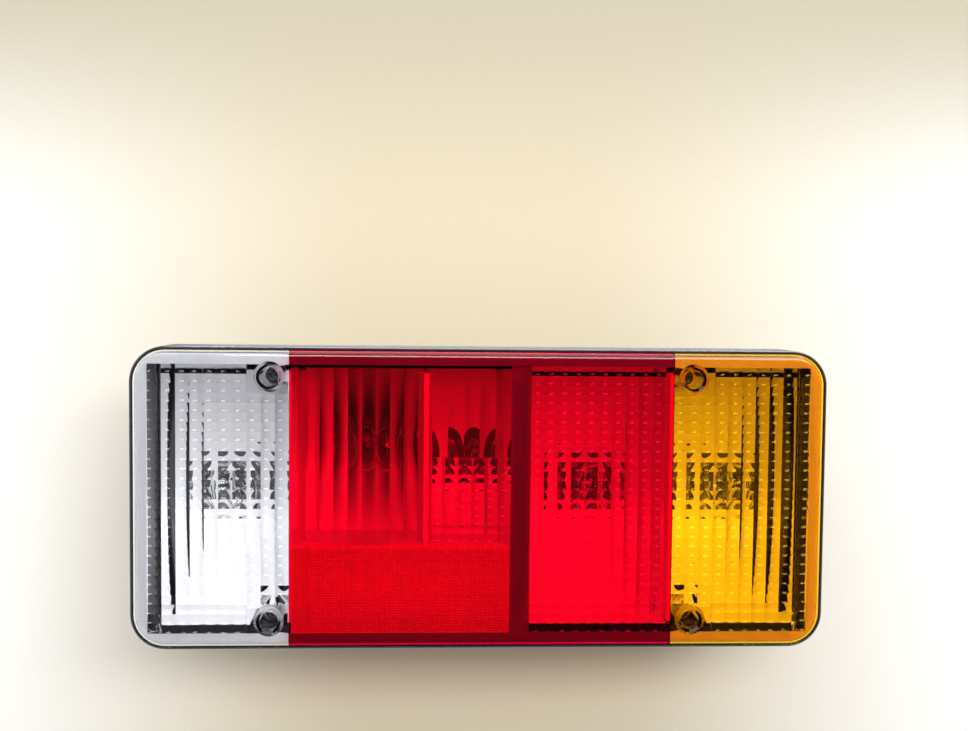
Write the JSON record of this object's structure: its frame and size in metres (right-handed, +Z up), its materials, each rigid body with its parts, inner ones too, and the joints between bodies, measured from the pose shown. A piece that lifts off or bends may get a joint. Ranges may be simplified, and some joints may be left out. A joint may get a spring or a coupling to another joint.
{
  "type": "tail light cluster",
  "caption": "Rear lamp cluster with a clear, red and amber lens on a black tapered housing, studs and a round cable socket on its back.",
  "frame": {"origin": "centre of the stud pattern on the back mounting panel", "axes": "+X along the lamp towards the amber end, +Y out of the mounting panel, +Z up"},
  "size_m": [0.346, 0.121, 0.15],
  "materials": {
    "housing_plastic": "satin moulded black plastic",
    "clear_lens": "clear polished acrylic",
    "red_lens": "red polished acrylic",
    "amber_lens": "amber polished acrylic",
    "gasket_rubber": "soft black rubber cord",
    "black_steel": "black finished steel",
    "zinc_steel": "bright zinc plated steel",
    "connector_plastic": "black glass-filled nylon",
    "boot_rubber": "black moulded rubber",
    "brass_strip": "stamped brass",
    "tray_plastic": "white reflective moulded plastic",
    "holder_plastic": "black heat-resistant plastic",
    "plated_steel": "nickel plated steel",
    "bulb_glass": "clear thin glass",
    "filament_wire": "drawn wire"
  },
  "bodies": {
    "root": {"housing": "housing_plastic", "lens_clear": "clear_lens", "lens_red": "red_lens", "lens_amber": "amber_lens", "lens_gasket": "gasket_rubber", "lens_screws": "black_steel", "mounting_studs": "zinc_steel", "connector_body": "connector_plastic", "connector_boot": "boot_rubber", "connector_blades": "brass_strip", "reflector_tray": "tray_plastic", "tray_screws": "black_steel", "ground_strip": "brass_strip", "reverse_strip": "brass_strip", "reverse_holder": "holder_plastic", "reverse_sleeve": "plated_steel", "reverse_contact": "brass_strip", "reverse_bulb_cap": "plated_steel", "reverse_bulb_glass": "bulb_glass", "reverse_filament": "filament_wire", "fog_strip": "brass_strip", "fog_holder": "holder_plastic", "fog_sleeve": "plated_steel", "fog_contact": "brass_strip", "fog_bulb_cap": "plated_steel", "fog_bulb_glass": "bulb_glass", "fog_filament": "filament_wire", "tail_strip": "brass_strip", "tail_holder": "holder_plastic", "tail_sleeve": "plated_steel", "tail_contact": "brass_strip", "tail_bulb_cap": "plated_steel", "tail_bulb_glass": "bulb_glass", "tail_filament": "filament_wire", "stop_strip": "brass_strip", "stop_holder": "holder_plastic", "stop_sleeve": "plated_steel", "stop_contact": "brass_strip", "stop_bulb_cap": "plated_steel", "stop_bulb_glass": "bulb_glass", "stop_filament": "filament_wire", "indicator_strip": "brass_strip", "indicator_holder": "holder_plastic", "indicator_sleeve": "plated_steel", "indicator_contact": "brass_strip", "indicator_bulb_cap": "plated_steel", "indicator_bulb_glass": "bulb_glass", "indicator_filament": "filament_wire"}
  },
  "joints": []
}
